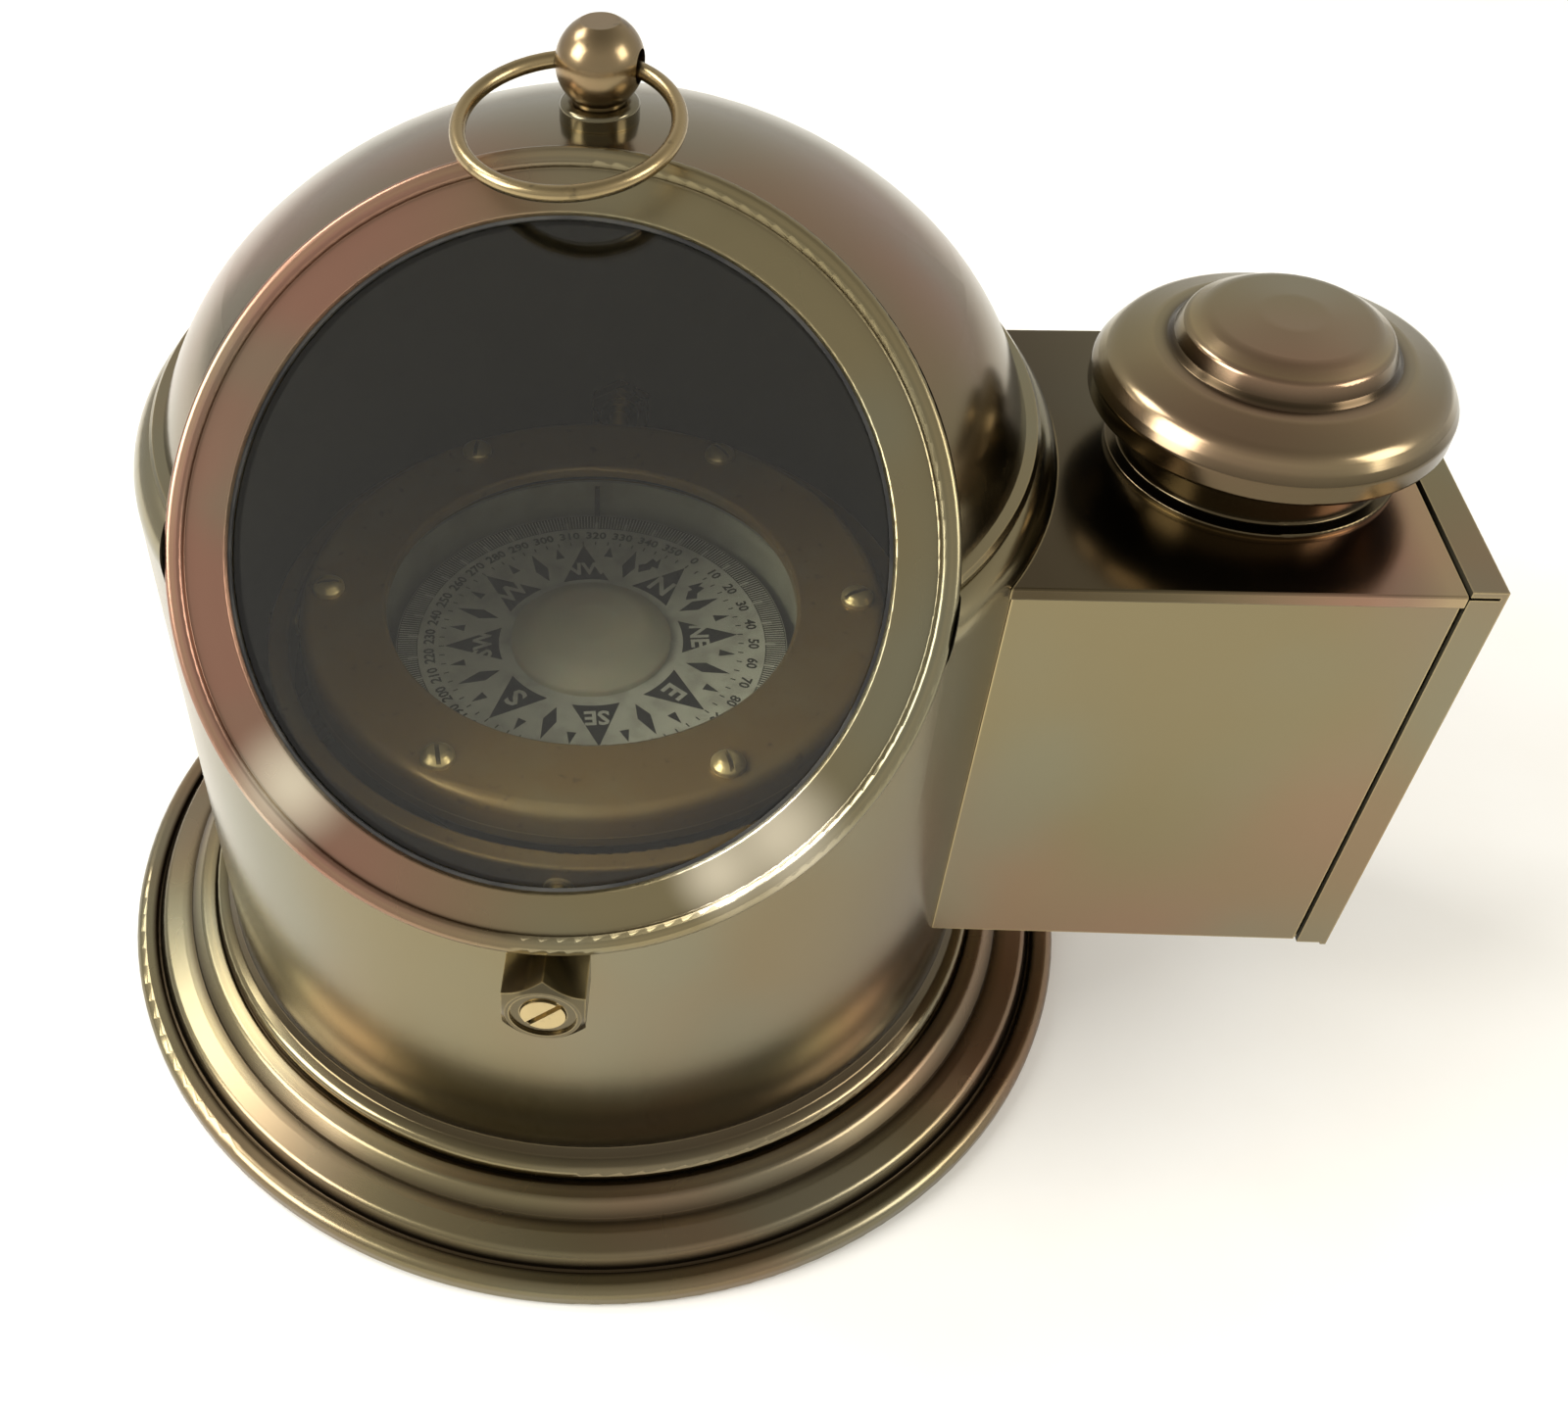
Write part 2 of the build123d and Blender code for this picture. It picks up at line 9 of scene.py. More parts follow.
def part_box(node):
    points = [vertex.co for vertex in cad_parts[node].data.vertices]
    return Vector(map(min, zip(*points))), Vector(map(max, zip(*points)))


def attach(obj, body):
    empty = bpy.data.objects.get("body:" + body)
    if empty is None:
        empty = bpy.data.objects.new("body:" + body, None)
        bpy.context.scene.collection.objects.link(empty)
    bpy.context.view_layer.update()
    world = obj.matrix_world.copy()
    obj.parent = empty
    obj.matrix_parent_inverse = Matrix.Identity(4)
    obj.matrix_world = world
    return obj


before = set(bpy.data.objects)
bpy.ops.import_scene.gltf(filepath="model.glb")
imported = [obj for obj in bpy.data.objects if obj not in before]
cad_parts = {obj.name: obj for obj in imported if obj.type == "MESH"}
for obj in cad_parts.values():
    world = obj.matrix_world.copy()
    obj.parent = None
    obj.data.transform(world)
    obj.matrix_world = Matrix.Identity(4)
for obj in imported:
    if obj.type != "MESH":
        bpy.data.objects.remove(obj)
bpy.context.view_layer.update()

bl_info = {
    "name": "Binnacle compass",
    "version": (1, 0, 0),
    "blender": (4, 5, 0),
    "location": "3D View > Sidebar > Binnacle",
    "description": "Finishes, card print and studio for a brass binnacle compass",
    "category": "Object",
}

MM = 0.001
BAR_TREE = "Bars round an axis"
CARD_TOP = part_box("compass_card")[1].z
INK_HEIGHT = 0.03 * MM
NORTH = math.radians(50)
WINDOW_TURN = math.radians(-6.6)
WINDOW_TILT = math.radians(48.9)
WINDOW_CENTRE = Matrix.Rotation(WINDOW_TURN, 4, "Z") @ Vector((0, -43.0 * MM, 130.5 * MM))
# Painted highlights on the window frame: spots about the window's axis, and how far each reaches.
WINDOW_HIGHLIGHT_SPOTS = (
    ((-0.0375, -0.0385, -0.001), 0.012),
    ((0.0385, -0.0375, -0.001), 0.013),
    ((0.030, -0.0445, -0.001), 0.009))
CHIMNEY_AXIS = ((0.1076, -0.006, 0), (0, 0, 0))
CAMERA_PLACE = (0.007871, -0.238956, 0.298244)
CAMERA_YAW, CAMERA_PITCH, CAMERA_ROLL = -0.078, 0.827, -0.032
LENS, SENSOR, SHIFT = 39.107, 36, (0.1562, 0.0418)
FLOOR_HALF = 4.0
# A shell's middle, and the directions that tell its inside from its outside, where the inside gets painted
# shade.
DRUM_MIDDLE = ((0, 0, 0), (1, 1, 0))
BOX_MIDDLE = ((0.100, -0.006, 0.083), (1, 1, 1))
DOME_MIDDLE = ((0, 0, 0.1), (1, 1, 1))

# ---- tones used by more than one finish ----
# near-black painted shade on the inner faces of the drum, lamp box and dome
INSIDE_SHADE_BLACK = (0.030, 0.026, 0.015, 1)
# pale gold of the painted highlight spots
HIGHLIGHT_PALE_GOLD = (0.86, 0.78, 0.60, 1)
RUBBER = (0.012, 0.012, 0.012, 1)
KNOB_BROWN = (0.25, 0.18, 0.10, 1)
RING_BROWN = (0.33, 0.25, 0.13, 1)

# ---- bands on each piece, mostly painted highlights and painted shade: along what, from, to, and greys on the way (0 dark, 0.5 plain, 1 bright) ----
# flange: painted highlights on the beads, painted shade with tarnish in the grooves
FLANGE_LIGHT_BANDS = ("radius", 0.07, 0.102, (
    (0.0770, 0.4), (0.0803, 0.3), (0.0811, 0.0), (0.0818, 0.25), (0.0828, 0.6), (0.0850, 0.45),
    (0.0868, 0.15), (0.0876, 0.15), (0.0888, 0.45), (0.0930, 0.5), (0.0945, 0.08), (0.0957, 0.02),
    (0.0966, 0.45), (0.0985, 0.6), (0.1000, 0.4)))
# drum: darker towards the foot, with a painted highlight band at the shoulder
DRUM_BANDS = ("height", 0.01, 0.132, (
    (0.011, 0.05), (0.0122, 0.3), (0.0150, 0.5), (0.0162, 0.12), (0.0176, 0.15), (0.0195, 0.22),
    (0.0290, 0.27), (0.0350, 0.46), (0.0420, 0.5), (0.1240, 0.5), (0.1285, 0.6), (0.1302, 0.5)))
# box top: painted reflection, darker at its inner end and brighter towards its outer end
BOX_TOP_REFLECTION = ("length", 0.07, 0.14, ((0.07, 0.12), (0.09, 0.2), (0.118, 0.42), (0.130, 0.7), (0.14, 0.75)))
# cap: painted highlights on the rounded edges, painted shade with tarnish in the groove
CAP_LIGHT_BANDS = ("radius", 0.0, 0.0281, (
    (0.000, 0.5), (0.0120, 0.5), (0.0148, 0.66), (0.0160, 0.3), (0.0170, 0.02), (0.0180, 0.3),
    (0.0195, 0.6), (0.0240, 0.5), (0.0262, 0.58), (0.0270, 0.3), (0.0277, 0.2)))
# dome: a painted highlight on the bead at its foot, painted shade in the line above it
DOME_LIGHT_BANDS = ("height", 0.128, 0.172, (
    (0.1300, 0.3), (0.1322, 0.6), (0.1330, 0.2), (0.1345, 0.5), (0.150, 0.5), (0.170, 0.5)))
# window frame: painted highlights on the beads, painted shade in the hollow between them
FRAME_LIGHT_BANDS = ("radius", 0.05, 0.061, (
    (0.0510, 0.6), (0.0522, 0.5), (0.0545, 0.52), (0.0570, 0.42), (0.0577, 0.22), (0.0583, 0.45),
    (0.0592, 0.62), (0.0604, 0.55), (0.0609, 0.3)))


# ---- colours and sizes a user would change ----


def colour(name, description, value):
    return FloatVectorProperty(
        name=name, description=description, subtype="COLOR", size=4, min=0, max=1, default=(*value, 1))


def length(name, description, millimetres):
    return FloatProperty(
        name=name, description=description, default=millimetres * MM, min=0, unit="LENGTH",
        subtype="DISTANCE")


class BinnacleMetals(bpy.types.PropertyGroup):
    """The colours of the brass and bronze."""

    olive: colour("Olive bronze", "Main colour of the spun case", (0.215, 0.180, 0.100))
    rose: colour("Rose bronze", "Pinkish areas of the old lacquer", (0.285, 0.155, 0.110))
    smoke: colour("Smoke", "Grey-green areas of the old lacquer", (0.205, 0.198, 0.135))
    # this gold is also the colour of the painted highlights in the bands
    gold: colour("Worn gold and highlight", "Bare brass on beads and edges", (0.52, 0.41, 0.21))
    # this patina colour is also the painted shade in grooves, crevices and dark bands
    patina_and_shade: colour("Patina", "Dirt and tarnish in the grooves", (0.045, 0.032, 0.018))
    bowl: colour("Bowl brass", "Brown brass of the gimbal and bowl", (0.20, 0.13, 0.045))
    gloss: FloatProperty(
        name="Roughness", description="Roughness of the lacquered metal", default=0.19, min=0.05, max=0.8,
        subtype="FACTOR")


class BinnacleCard(bpy.types.PropertyGroup):
    """The card's print."""

    paper: colour("Card white", "Ground of the compass card", (0.66, 0.65, 0.62))
    ink: colour("Ink", "Graduations, points and figures", (0.012, 0.012, 0.014))
    pearl: colour("Float", "Pearl-white float in the middle", (0.60, 0.535, 0.44))
    rim_in: length("Graduations from", "Inside radius of the degree ring", 33.4)
    rim_out: length("Graduations to", "Outside radius of the degree ring", 37.0)
    point_base: length("Points from", "Radius of the base of the eight points", 17.6)
    point_tip: length("Points to", "Radius of the tips of the eight points", 28.0)
    figures: length("Figures", "Radius of the degree figures", 30.9)
    degrees: IntProperty(name="Degree lines", description="Lines round the rim", default=360, min=36)


class BinnacleStage(bpy.types.PropertyGroup):
    """The studio."""

    floor: colour("Floor", "Colour of the floor", (0.94, 0.935, 0.905))
    sky: FloatProperty(name="Room light", description="Strength of the light all round", default=0.78, min=0)
    key: FloatProperty(name="Key light", description="Power of the left window light", default=24.0, min=0,
                       unit="POWER")
    fill: FloatProperty(name="Fill light", description="Power of the right window light", default=6.0, min=0,
                        unit="POWER")


# ---- materials ----


class Recipe:
    """A material, mixed one node at a time."""

    def __init__(self, name, axis_place=None):
        self.material = bpy.data.materials.new(name)
        self.material.use_nodes = True
        self.tree = self.material.node_tree
        self.shader = self.tree.nodes["Principled BSDF"]
        self.place = self.add("ShaderNodeTexCoord").outputs["Object"]
        if axis_place:
            centre, turn = axis_place
            sockets = {"Vector": self.place, "Location": centre, "Rotation": turn}
            mapped = self.add("ShaderNodeMapping", sockets, vector_type="TEXTURE")
            self.place = mapped.outputs["Vector"]

    def add(self, kind, sockets=None, **settings):
        node = self.tree.nodes.new(kind)
        for key, value in settings.items():
            setattr(node, key, value)
        for key, value in (sockets or {}).items():
            self.give(node.inputs[key], value)
        return node

    def give(self, socket, value):
        if isinstance(value, bpy.types.NodeSocket):
            self.tree.links.new(value, socket)
        else:
            socket.default_value = value

    def math(self, operation, first, second=0.0):
        return self.add("ShaderNodeMath", {0: first, 1: second}, operation=operation).outputs[0]

    def mix(self, factor, first, second, blend="MIX"):
        node = self.add("ShaderNodeMix", {0: factor, 6: first, 7: second}, data_type="RGBA", blend_type=blend)
        return node.outputs[2]

    def noise(self, scale, detail=3.0, stretch=(1, 1, 1)):
        spread = self.add("ShaderNodeMapping", {"Vector": self.place, "Scale": stretch}).outputs["Vector"]
        sockets = {"Vector": spread, "Scale": scale, "Detail": detail}
        return self.add("ShaderNodeTexNoise", sockets).outputs["Fac"]

    def between(self, value, low, high, out_low=0.0, out_high=1.0):
        sockets = {"Value": value, "From Min": low, "From Max": high, "To Min": out_low, "To Max": out_high}
        return self.add("ShaderNodeMapRange", sockets, interpolation_type="SMOOTHSTEP").outputs["Result"]

    def profile(self):
        """Distance from the turning axis, and height along it."""
        parts = self.add("ShaderNodeSeparateXYZ", {"Vector": self.place}).outputs
        across = self.add("ShaderNodeCombineXYZ", {"X": parts["X"], "Y": parts["Y"]}).outputs[0]
        radius = self.add("ShaderNodeVectorMath", {0: across}, operation="LENGTH").outputs["Value"]
        return radius, parts["Z"]

    def along(self, axis):
        """Position along X, Y or Z."""
        return self.add("ShaderNodeSeparateXYZ", {"Vector": self.place}).outputs[axis]

    def coordinate(self, name):
        """The radius or the height about the turning axis, or the length along X."""
        if name == "length":
            return self.along("X")
        radius, height = self.profile()
        return radius if name == "radius" else height

    def distance(self, point):
        """How far the surface is from a point."""
        apart = self.add("ShaderNodeVectorMath", {0: self.place, 1: point}, operation="DISTANCE")
        return apart.outputs["Value"]

    def turning_lines(self, per_metre):
        """Fine lines left round a turned piece by the lathe."""
        radius, height = self.profile()
        line = self.add("ShaderNodeCombineXYZ", {"X": radius, "Y": height}).outputs[0]
        sockets = {"Vector": line, "Scale": per_metre, "Detail": 2.0}
        return self.add("ShaderNodeTexNoise", sockets).outputs["Fac"]

    def bands(self, value, low, high, stops):
        """Greys between low and high of a value: 0 is darkest (painted shade, with tarnish in grooves), 0.5
        plain, 1 a painted highlight.
        """
        along = self.add("ShaderNodeMapRange", {"Value": value, "From Min": low, "From Max": high}).outputs[0]
        ramp = self.add("ShaderNodeValToRGB", {"Fac": along})
        elements = ramp.color_ramp.elements
        while len(elements) < len(stops):
            elements.new(0.5)
        for element, (position, grey) in zip(elements, stops):
            element.position = (position - low) / (high - low)
            element.color = (grey, grey, grey, 1)
        return ramp.outputs["Color"]

    def crevice(self, reach):
        """Near 1 in the open and near 0 in a crevice."""
        hidden = self.add("ShaderNodeAmbientOcclusion", {"Distance": reach}, samples=6, only_local=True)
        return hidden.outputs["AO"]

    def worn_edge(self, radius):
        """0 on a flat and higher along an edge."""
        rounded = self.add("ShaderNodeBevel", {"Radius": radius}, samples=4).outputs["Normal"]
        flat = self.add("ShaderNodeNewGeometry").outputs["Normal"]
        agreement = self.add("ShaderNodeVectorMath", {0: rounded, 1: flat}, operation="DOT_PRODUCT")
        return self.between(agreement.outputs["Value"], 0.995, 0.86)

    def inside(self, centre, spread):
        """1 where a shell's surface faces the centre, 0 outside. A spread of 0 ignores that direction."""
        out = self.add("ShaderNodeVectorMath", {0: self.place, 1: centre}, operation="SUBTRACT").outputs[0]
        out = self.add("ShaderNodeVectorMath", {0: out, 1: spread}, operation="MULTIPLY").outputs[0]
        facing = self.add("ShaderNodeNewGeometry").outputs["Normal"]
        side = self.add("ShaderNodeVectorMath", {0: out, 1: facing}, operation="DOT_PRODUCT").outputs["Value"]
        return self.between(side, 0.0005, -0.0005)

    def bump(self, height, distance, strength=1.0):
        node = self.add("ShaderNodeBump", {"Height": height, "Distance": distance, "Strength": strength})
        self.give(self.shader.inputs["Normal"], node.outputs["Normal"])

    def done(self, **sockets):
        for key, value in sockets.items():
            self.give(self.shader.inputs[key.replace("_", " ")], value)
        return self.material


def bronze(name, metals, rose=0.5, light_bands=None, axis_place=None, shaded_inside=None, edge=0.5, dusk=0.0, blush=None,
           highlight_spots=(), dull=0.0):
    """Old lacquered bronze: olive clouded with rose and smoke, worn on edges, with painted highlights and
    shade.
    """
    mix = Recipe(name, axis_place)
    if blush:
        direction, start, full = blush
        clouds = mix.between(mix.along(direction), start, full)
    else:
        clouds = mix.between(mix.noise(13, 1.0), 0.40, 0.66)
    base = mix.mix(mix.math("MULTIPLY", clouds, rose), metals.olive, metals.rose)
    base = mix.mix(mix.between(mix.noise(24, 1.5, (1, 1.3, 0.8)), 0.42, 0.72, 0, 0.7), base, metals.smoke)
    base = mix.mix(dusk, base, metals.patina_and_shade)
    # painted highlights and shade: bright band stops mix toward gold, dark ones toward the patina colour
    if light_bands:
        coordinate, *band_span = light_bands
        grey = mix.bands(mix.coordinate(coordinate), *band_span)
        base = mix.mix(mix.between(grey, 0.5, 1.0), base, metals.gold)
        base = mix.mix(mix.between(grey, 0.5, 0.0), base, metals.patina_and_shade)
    if edge:
        base = mix.mix(mix.math("MULTIPLY", mix.worn_edge(0.5 * MM), edge), base, metals.gold)
    # painted highlight spots, fading out over each reach
    for spot, reach in highlight_spots:
        base = mix.mix(mix.between(mix.distance(spot), reach, 0.0, 0.0, 0.85), base, HIGHLIGHT_PALE_GOLD)
    # painted shade with dirt: darker where ambient occlusion finds a crevice
    crevice_shade_and_dirt = mix.between(mix.crevice(2.2 * MM), 0.62, 0.30, 0, 0.8)
    base = mix.mix(crevice_shade_and_dirt, base, metals.patina_and_shade)
    lines = mix.turning_lines(5200)
    rough = mix.math("ADD", metals.gloss + dull - 0.03, mix.math("MULTIPLY", mix.noise(40, 2.0), 0.06))
    rough = mix.math("ADD", rough, mix.math("MULTIPLY", crevice_shade_and_dirt, 0.3))
    metallic = 1.0
    # painted shade: faces turned to a shell's middle are near-black, dull and not metallic
    if shaded_inside:
        inside_shade = mix.inside(*shaded_inside)
        base = mix.mix(inside_shade, base, INSIDE_SHADE_BLACK)
        metallic = mix.math("SUBTRACT", 1.0, inside_shade)
        rough = mix.math("ADD", rough, mix.math("MULTIPLY", inside_shade, 0.35))
    waves = mix.math("ADD", mix.math("MULTIPLY", lines, 0.12), mix.noise(70, 2.0))
    mix.bump(waves, 0.05 * MM, 0.2)
    return mix.done(Base_Color=base, Metallic=metallic, Roughness=rough)


def brass(name, tone, metals, rough=0.26, crevice_reach=1.2, grain=4000, edge=0.7, metallic=1.0):
    """Plain brass in one tone, with worn edges and painted shade with dirt in its corners."""
    mix = Recipe(name)
    base = mix.mix(mix.between(mix.noise(55, 4.0), 0.4, 0.72, 0, 0.5), tone, metals.olive)
    spots = mix.between(mix.noise(420, 3.0), 0.62, 0.76, 0, 0.4)
    base = mix.mix(spots, base, metals.patina_and_shade)
    base = mix.mix(mix.math("MULTIPLY", mix.worn_edge(0.35 * MM), edge), base, metals.gold)
    # painted shade with dirt: darker where ambient occlusion finds a corner
    crevice_shade_and_dirt = mix.between(mix.crevice(crevice_reach * MM), 0.6, 0.3, 0, 0.85)
    base = mix.mix(crevice_shade_and_dirt, base, metals.patina_and_shade)
    roughness = mix.math("ADD", rough - 0.06, mix.math("MULTIPLY", mix.noise(130, 3.0), 0.14))
    mix.bump(mix.turning_lines(grain), 0.02 * MM, 0.4)
    return mix.done(Base_Color=base, Metallic=metallic, Roughness=roughness)


def steel(name, tone, rough):
    mix = Recipe(name)
    dull = (tone[0] * 0.4, tone[1] * 0.38, tone[2] * 0.36, 1)
    base = mix.mix(mix.between(mix.noise(260, 4.0), 0.45, 0.7, 0, 0.7), tone, dull)
    mix.bump(mix.turning_lines(5200), 0.02 * MM, 0.4)
    return mix.done(Base_Color=base, Metallic=1.0, Roughness=mix.between(mix.noise(200, 2.0), 0.3, 0.7, rough,
                                                                         rough + 0.15))


def paint(name, tone, second_tone, rough, grain=300, depth=0.02, metallic=0.0):
    """Enamel, rubber, print or lacquer: two close tones with a fine surface."""
    mix = Recipe(name)
    base = mix.mix(mix.between(mix.noise(grain * 0.3, 4.0), 0.4, 0.7), tone, second_tone)
    mix.bump(mix.noise(grain, 3.0), depth * MM, 0.4)
    roughness = mix.between(mix.noise(grain * 0.5, 2.0), 0.3, 0.7, rough - 0.05, rough + 0.08)
    return mix.done(Base_Color=base, Metallic=metallic, Roughness=roughness)


def pearl(name, tone):
    """Translucent pearly enamel."""
    mix = Recipe(name)
    cool = (tone[0] * 0.88, tone[1] * 0.93, tone[2] * 0.98, 1)
    base = mix.mix(mix.between(mix.noise(70, 3.0), 0.35, 0.7), tone, cool)
    mix.bump(mix.noise(150, 2.0), 0.02 * MM, 0.3)
    return mix.done(Base_Color=base, Roughness=mix.between(mix.noise(120, 2.0), 0.3, 0.7, 0.3, 0.42),
                    Subsurface_Weight=0.15, Subsurface_Scale=0.002, Coat_Weight=0.3)


def cotton(name):
    """Woven lamp wick, charred at its top."""
    mix = Recipe(name)
    weave = mix.add("ShaderNodeTexWave", {"Vector": mix.place, "Scale": 420.0, "Distortion": 2.0},
                    bands_direction="DIAGONAL").outputs["Fac"]
    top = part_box("lamp_wick")[1].z
    height = mix.profile()[1]
    base = mix.mix(weave, (0.62, 0.55, 0.42, 1), (0.40, 0.34, 0.24, 1))
    base = mix.mix(mix.between(height, top - 4 * MM, top - 1 * MM), base, (0.015, 0.012, 0.01, 1))
    mix.bump(weave, 0.15 * MM, 0.7)
    return mix.done(Base_Color=base, Roughness=0.9, Sheen_Weight=0.2)


def glass(name, tint):
    """Clear plate glass with a faint film of dust that lets lamplight through."""
    mix = Recipe(name)
    tree = mix.tree
    dusty = (tint[0] * 0.94, tint[1] * 0.94, tint[2] * 0.93, 1)
    film = mix.mix(mix.between(mix.noise(45, 5.0), 0.45, 0.8), tint, dusty)
    mix.done(Base_Color=film, Transmission_Weight=1.0, IOR=1.4, Roughness=0.0)
    clear = mix.add("ShaderNodeBsdfTransparent", {"Color": tint})
    ray = mix.add("ShaderNodeLightPath").outputs["Is Shadow Ray"]
    blend = mix.add("ShaderNodeMixShader", {0: ray, 1: mix.shader.outputs[0], 2: clear.outputs[0]})
    tree.links.new(blend.outputs[0], tree.nodes["Material Output"].inputs["Surface"])
    return mix.material


# ---- making pieces ----


def coat(material, *nodes):
    """Gives CAD nodes a material."""
    for name in nodes:
        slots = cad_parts[name].data.materials
        slots.clear()
        slots.append(material)


def new_object(name, mesh, material=None):
    if material:
        mesh.materials.append(material)
    piece = bpy.data.objects.new(name, mesh)
    bpy.context.scene.collection.objects.link(piece)
    return piece


def polar(radius, angle):
    return radius * math.cos(angle), radius * math.sin(angle)


def prisms(name, outlines, low, high, material):
    """Flat shapes printed on the card: each closed outline of (x, y) is raised from low to high."""
    shape = bmesh.new()
    for outline in outlines:
        rings = [[shape.verts.new((x, y, z)) for x, y in outline] for z in (low, high)]
        shape.faces.new(rings[1])
        shape.faces.new(rings[0][::-1])
        for at, vert in enumerate(rings[0]):
            after = (at + 1) % len(outline)
            shape.faces.new((vert, rings[0][after], rings[1][after], rings[1][at]))
    bmesh.ops.recalc_face_normals(shape, faces=shape.faces)
    mesh = bpy.data.meshes.new(name)
    shape.to_mesh(mesh)
    shape.free()
    return new_object(name, mesh, material)


def lettering(name, labels, low, high, material):
    """Text standing on circles about +Z, tops outwards. Labels are (text, size, radius, angle)."""
    whole = bmesh.new()
    for text, size, radius, angle in labels:
        curve = bpy.data.curves.new(name, "FONT")
        curve.body = text
        curve.size = size
        curve.align_x = curve.align_y = "CENTER"
        curve.resolution_u = 2
        curve.offset = size * 0.025
        curve.extrude = (high - low) / 2
        holder = bpy.data.objects.new(name, curve)
        bpy.context.scene.collection.objects.link(holder)
        mesh = bpy.data.meshes.new_from_object(holder.evaluated_get(bpy.context.evaluated_depsgraph_get()))
        x, y = polar(radius, angle)
        place = Matrix.Translation((x, y, (low + high) / 2)) @ Matrix.Rotation(angle - math.pi / 2, 4, "Z")
        mesh.transform(place)
        whole.from_mesh(mesh)
        bpy.data.objects.remove(holder)
        bpy.data.meshes.remove(mesh)
        bpy.data.curves.remove(curve)
    mesh = bpy.data.meshes.new(name)
    whole.to_mesh(mesh)
    whole.free()
    mesh.materials.clear()
    return new_object(name, mesh, material)


def spoke_tree():
    """Geometry nodes: bars set evenly round the Z axis."""
    tree = bpy.data.node_groups.new(BAR_TREE, "GeometryNodeTree")
    named = [("Count", "NodeSocketInt"), ("Radius", "NodeSocketFloat"), ("Bar", "NodeSocketVector"),
             ("Centre", "NodeSocketVector"), ("Tilt", "NodeSocketVector"), ("Material", "NodeSocketMaterial")]
    for name, kind in named:
        tree.interface.new_socket(name, in_out="INPUT", socket_type=kind)
    tree.interface.new_socket("Geometry", in_out="OUTPUT", socket_type="NodeSocketGeometry")
    nodes, links = tree.nodes, tree.links
    given, result = nodes.new("NodeGroupInput"), nodes.new("NodeGroupOutput")

    def math_node(operation, first, second):
        node = nodes.new("ShaderNodeMath")
        node.operation = operation
        for socket, value in zip(node.inputs, (first, second)):
            if isinstance(value, bpy.types.NodeSocket):
                links.new(value, socket)
            else:
                socket.default_value = value
        return node.outputs[0]

    index = nodes.new("GeometryNodeInputIndex").outputs[0]
    angle = math_node("MULTIPLY", math_node("DIVIDE", index, given.outputs["Count"]), math.tau)
    at = nodes.new("ShaderNodeCombineXYZ")
    links.new(math_node("MULTIPLY", math_node("COSINE", angle, 0.0), given.outputs["Radius"]), at.inputs["X"])
    links.new(math_node("MULTIPLY", math_node("SINE", angle, 0.0), given.outputs["Radius"]), at.inputs["Y"])
    points = nodes.new("GeometryNodePoints")
    links.new(given.outputs["Count"], points.inputs["Count"])
    links.new(at.outputs[0], points.inputs["Position"])
    bar = nodes.new("GeometryNodeMeshCube")
    links.new(given.outputs["Bar"], bar.inputs["Size"])
    turn = nodes.new("ShaderNodeCombineXYZ")
    links.new(angle, turn.inputs["Z"])
    copies = nodes.new("GeometryNodeInstanceOnPoints")
    links.new(points.outputs[0], copies.inputs["Points"])
    links.new(bar.outputs["Mesh"], copies.inputs["Instance"])
    links.new(turn.outputs[0], copies.inputs["Rotation"])
    real = nodes.new("GeometryNodeRealizeInstances")
    links.new(copies.outputs[0], real.inputs[0])
    place = nodes.new("GeometryNodeTransform")
    links.new(real.outputs[0], place.inputs["Geometry"])
    links.new(given.outputs["Centre"], place.inputs["Translation"])
    links.new(given.outputs["Tilt"], place.inputs["Rotation"])
    painted = nodes.new("GeometryNodeSetMaterial")
    links.new(place.outputs[0], painted.inputs["Geometry"])
    links.new(given.outputs["Material"], painted.inputs["Material"])
    links.new(painted.outputs[0], result.inputs[0])
    return tree


def bars(name, count, radius, bar, centre, material, tilt=(0, 0, 0)):
    """A ring of bars from the geometry nodes, as a plain mesh."""
    tree = bpy.data.node_groups.get(BAR_TREE) or spoke_tree()
    holder = new_object(name + "_maker", bpy.data.meshes.new(name + "_maker"))
    modifier = holder.modifiers.new("Bars", "NODES")
    modifier.node_group = tree
    values = {"Count": count, "Radius": radius, "Bar": bar, "Centre": centre, "Tilt": tilt,
              "Material": material}
    for item in tree.interface.items_tree:
        if item.in_out == "INPUT":
            modifier[item.identifier] = values[item.name]
    graph = bpy.context.evaluated_depsgraph_get()
    mesh = bpy.data.meshes.new_from_object(holder.evaluated_get(graph))
    bpy.data.objects.remove(holder)
    mesh.name = name
    return new_object(name, mesh)


def printed_ring(inner, outer, low, high, name, material, steps=240):
    """A thin printed ring."""
    outlines = []
    for at in range(steps):
        a, b = math.tau * at / steps, math.tau * (at + 1) / steps
        outlines.append([polar(inner, a), polar(outer, a), polar(outer, b), polar(inner, b)])
    shape = bmesh.new()
    for outline in outlines:
        top = [shape.verts.new((x, y, high)) for x, y in outline]
        shape.faces.new(top)
    bmesh.ops.remove_doubles(shape, verts=shape.verts, dist=1e-7)
    mesh = bpy.data.meshes.new(name)
    shape.to_mesh(mesh)
    shape.free()
    piece = new_object(name, mesh, material)
    wall = piece.modifiers.new("Thickness", "SOLIDIFY")
    wall.thickness = high - low
    wall.offset = -1
    return piece


def finish_piece(piece, body):
    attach(piece, body)


# ---- operators ----


